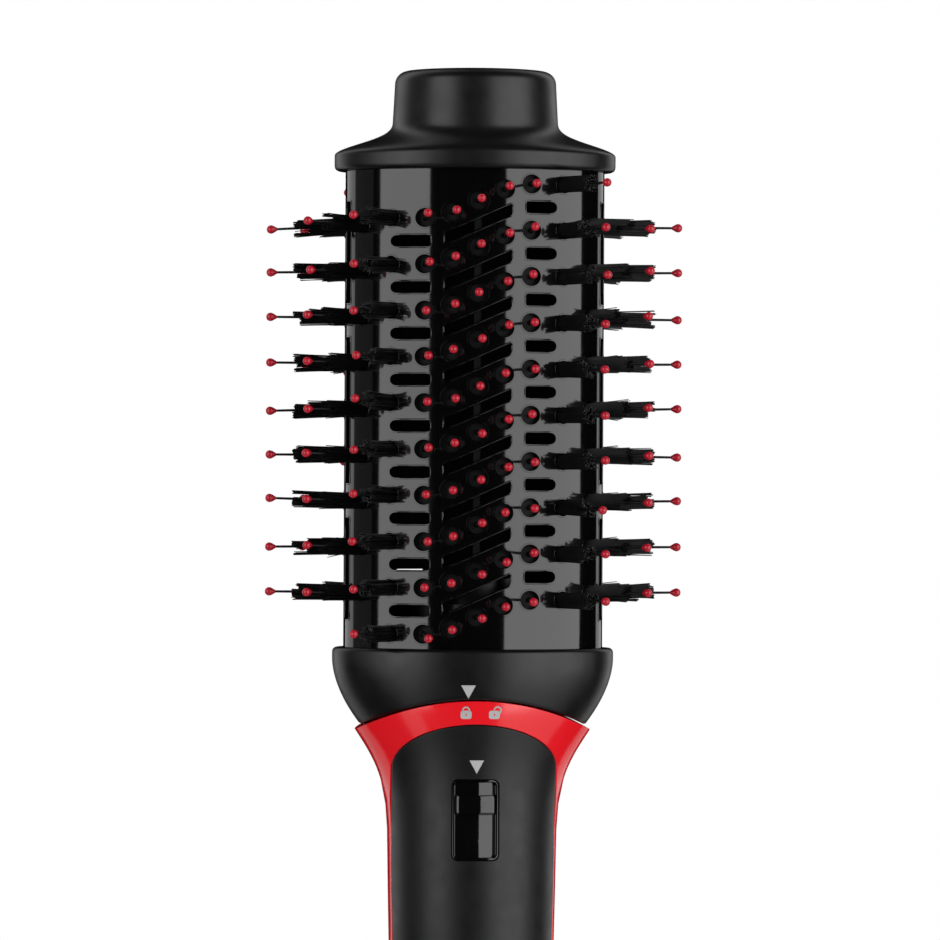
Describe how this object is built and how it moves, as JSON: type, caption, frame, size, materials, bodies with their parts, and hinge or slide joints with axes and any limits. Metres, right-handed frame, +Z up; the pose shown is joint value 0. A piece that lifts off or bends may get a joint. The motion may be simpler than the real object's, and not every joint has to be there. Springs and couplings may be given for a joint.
{
  "type": "hot-air styling brush",
  "caption": "Handheld hot-air brush: oval vented barrel with ball-tipped pins and bristle tufts on a twist-lock head, flared handle, release slide and setting dial.",
  "frame": {"origin": "centre of the flat of the base, below the handle", "axes": "+Z up the axis to the tip of the head, -Y is the front with the release slide, +X to the right seen from the front"},
  "size_m": [0.0982, 0.0782, 0.37],
  "materials": {
    "satin_black": "satin moulded plastic",
    "soft_grip": "fine matte soft-touch skin",
    "gloss_black": "high-gloss moulded plastic",
    "barrel_black": "glossy ceramic-style coating",
    "red_gloss": "high-gloss moulded plastic",
    "pin_red": "smooth dipped ball tips",
    "nylon_black": "black nylon",
    "print_grey": "printed ink",
    "steel": "plain steel",
    "copper": "bare metal",
    "mica": "pressed mica sheet",
    "electric": "circuit board laminate and moulded parts",
    "fuse_white": "ceramic body"
  },
  "bodies": {
    "handle": {"front_housing": "red_gloss", "back_housing": "red_gloss", "front_grip": "soft_grip", "back_grip": "soft_grip", "housing_marks": "print_grey", "grip_mark": "print_grey", "slide_tray": "gloss_black", "release_spring": "steel", "spigot": "satin_black", "outlet_grille": "satin_black", "mica_tube": "mica", "mica_board_x": "mica", "mica_board_y": "mica", "heater_coil": "steel", "thermostat": "steel", "thermal_fuse": "fuse_white", "stator_vanes": "satin_black", "motor_case": "steel", "motor_magnets": "steel", "motor_bushes": "copper", "motor_mount": "soft_grip", "circuit_board": "electric", "board_parts": "electric", "switch_track": "electric", "base_cap": "satin_black", "filter_mesh": "steel", "base_screws": "steel", "contact_block": "electric"},
    "seal_carrier": {"head_seal": "soft_grip"},
    "brush_head": {"tip_cap": "satin_black", "barrel_sleeve": "barrel_black", "front_pin_plate": "nylon_black", "back_pin_plate": "nylon_black", "left_pin_plate": "nylon_black", "right_pin_plate": "nylon_black", "front_pins": "nylon_black", "back_pins": "nylon_black", "left_pins": "nylon_black", "right_pins": "nylon_black", "front_pin_tips": "pin_red", "back_pin_tips": "pin_red", "left_pin_tips": "pin_red", "right_pin_tips": "pin_red", "front_tufts": "nylon_black", "back_tufts": "nylon_black", "left_tufts": "nylon_black", "right_tufts": "nylon_black", "air_core": "satin_black", "collar": "satin_black", "collar_mark": "print_grey", "head_screws": "steel", "bayonet_ring": "satin_black"},
    "release": {"release_slide": "gloss_black", "release_pawl": "gloss_black"},
    "dial": {"setting_dial": "satin_black", "dial_marks": "print_grey"},
    "rotor": {"impeller": "satin_black", "motor_rotor": "copper"},
    "swivel": {"cord_swivel": "satin_black", "slip_rings": "copper"}
  },
  "joints": [
    {"name": "head_turn", "type": "hinge", "parent": "handle", "child": "seal_carrier", "pos_m": [0, 0, 0.23], "axis": [0, 0, 1], "range_deg": [0, 18]},
    {"name": "head_rise", "type": "slide", "parent": "seal_carrier", "child": "brush_head", "axis": [0, 0, 1], "range_m": [0, 0.0016]},
    {"name": "release_press", "type": "slide", "parent": "handle", "child": "release", "axis": [0, 0, -1], "range_m": [0, 0.005], "stiffness_N_per_m": 300, "springref_m": -0.003, "deforming": ["release_spring"]},
    {"name": "dial_turn", "type": "hinge", "parent": "handle", "child": "dial", "pos_m": [0, 0, 0.03], "axis": [0, 0, 1], "range_deg": [0, 120]},
    {"name": "fan_spin", "type": "hinge", "parent": "handle", "child": "rotor", "pos_m": [0, 0, 0.07], "axis": [0, 0, 1], "continuous": true},
    {"name": "cord_swivel_turn", "type": "hinge", "parent": "handle", "child": "swivel", "pos_m": [0, 0, 0.007], "axis": [0, 0, 1], "continuous": true}
  ],
  "couplings": [
    {"joint": "head_rise", "follows": "head_turn", "m_per_rad": 0.0050924}
  ]
}
